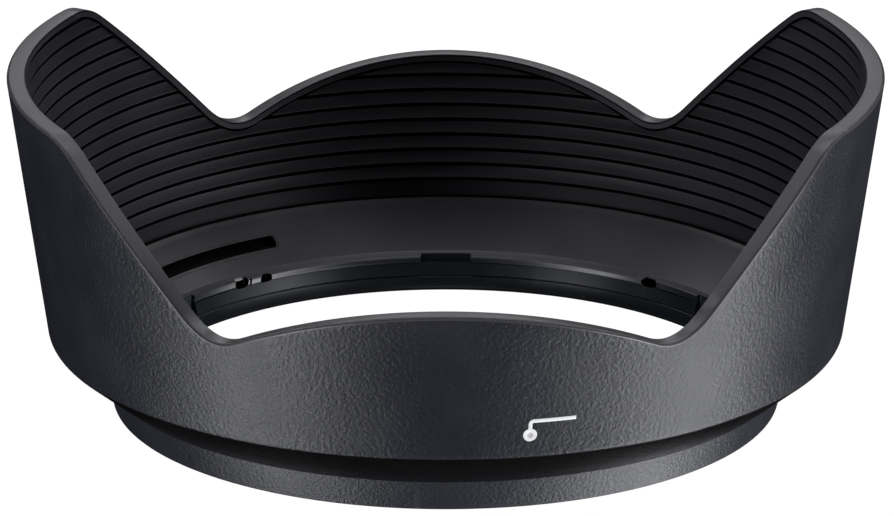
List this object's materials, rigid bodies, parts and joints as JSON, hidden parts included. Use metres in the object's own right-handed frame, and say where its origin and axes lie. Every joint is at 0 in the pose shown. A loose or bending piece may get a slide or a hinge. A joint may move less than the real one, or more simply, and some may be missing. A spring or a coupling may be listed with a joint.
{
  "type": "petal lens hood",
  "caption": "Flared plastic lens hood with long and short petals, ribbed inside, on a bayonet mount ring with a click tongue.",
  "frame": {"origin": "centre of the flat mount end, so the hood stands on it with its petals up", "axes": "+Z along the lens axis, from the mount towards the rim; long petals at +X and -X, short petals at +Y and -Y"},
  "size_m": [0.1022, 0.0984, 0.04],
  "materials": {
    "shell": "fine spark-grained black, ribs matte",
    "ring": "black, smooth satin funnel and glossy throat, grained collar",
    "tongue": "black, as the mount ring",
    "mark": "white filled mark"
  },
  "bodies": {
    "hood": {"petal_shell": "shell", "mount_ring": "ring", "index_mark": "mark"},
    "click_tongue": {"click_tongue": "tongue"}
  },
  "joints": [
    {"name": "click_tongue_flex", "type": "hinge", "parent": "hood", "child": "click_tongue", "pos_m": [-0.033, 0.0211, 0.005], "axis": [0, 0, 1], "range_deg": [0, 1.1], "stiffness_Nm_per_rad": 1.5}
  ]
}
